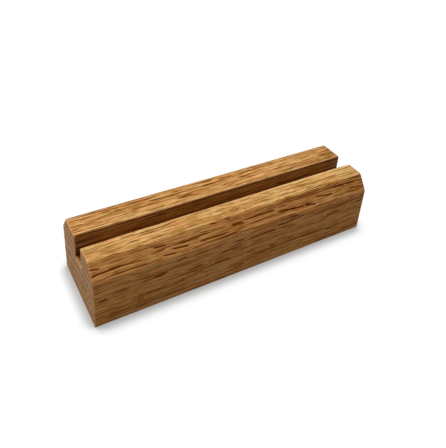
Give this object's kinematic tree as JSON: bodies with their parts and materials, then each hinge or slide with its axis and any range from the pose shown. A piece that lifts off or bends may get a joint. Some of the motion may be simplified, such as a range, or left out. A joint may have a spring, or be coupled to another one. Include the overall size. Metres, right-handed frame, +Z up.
{
  "type": "photo block holder",
  "caption": "Solid oak bar with bevelled long edges and a full-length slot in its top that grips the lower edge of a photo panel.",
  "frame": {"origin": "middle of the flat underside", "axes": "+X along the bar and its grain, -Y the front face, +Z up, out of the slot"},
  "size_m": [0.15, 0.042, 0.033],
  "materials": {
    "oak": "satin clear oil over planed and sanded oak, grain along the bar, open pores"
  },
  "bodies": {
    "root": {"oak_block": "oak"}
  },
  "joints": []
}
